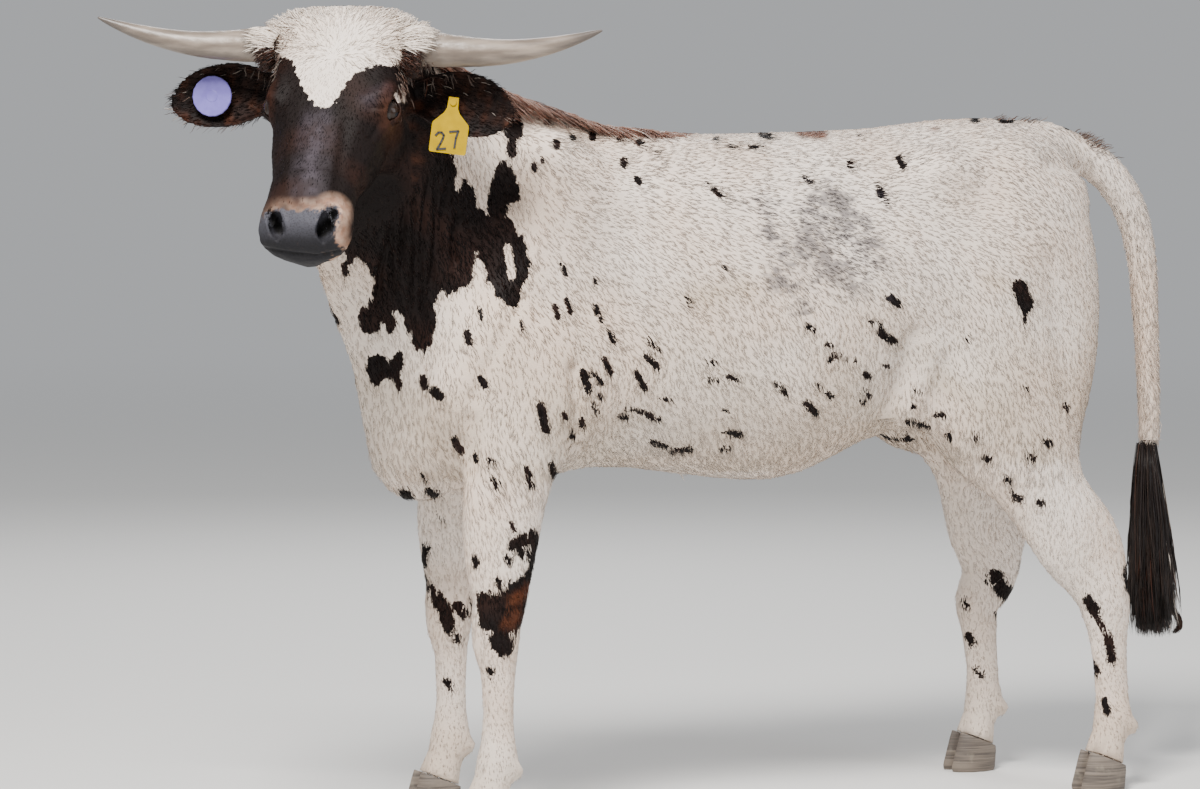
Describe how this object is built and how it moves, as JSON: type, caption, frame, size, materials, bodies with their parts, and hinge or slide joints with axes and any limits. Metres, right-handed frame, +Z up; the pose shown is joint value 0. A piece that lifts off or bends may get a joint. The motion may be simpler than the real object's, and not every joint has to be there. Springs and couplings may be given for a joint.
{
  "type": "texas longhorn",
  "caption": "Life-size still model of a young longhorn cow standing with its head turned to its left, short level horns and a tag in each ear.",
  "frame": {"origin": "middle of the model's box, on the ground", "axes": "+Z up, -X the way the body faces, -Y to the animal's left"},
  "size_m": [2.0358, 0.6645, 1.3586],
  "materials": {
    "coat": "short white coat with dark markings",
    "dark_coat": "short dark brown coat",
    "horn": "grey keratin, rough at the base",
    "hoof": "dark keratin",
    "eye": "wet, dark brown",
    "lilac_tag": "plain lilac",
    "yellow_tag": "plain yellow"
  },
  "bodies": {
    "root": {"head": "coat", "neck": "coat", "torso": "coat", "foreleg_left": "coat", "foreleg_right": "coat", "hindleg_left": "coat", "hindleg_right": "coat", "tail_base": "coat", "tail_middle": "coat", "tail_switch": "dark_coat", "ear_left": "dark_coat", "ear_right": "dark_coat", "eye_left": "eye", "eye_right": "eye", "horn_left": "horn", "horn_right": "horn", "tag_round": "lilac_tag", "tag_flag": "yellow_tag", "claw_front_left_left": "hoof", "claw_front_left_right": "hoof", "claw_front_right_left": "hoof", "claw_front_right_right": "hoof", "claw_hind_left_left": "hoof", "claw_hind_left_right": "hoof", "claw_hind_right_left": "hoof", "claw_hind_right_right": "hoof"}
  },
  "joints": []
}
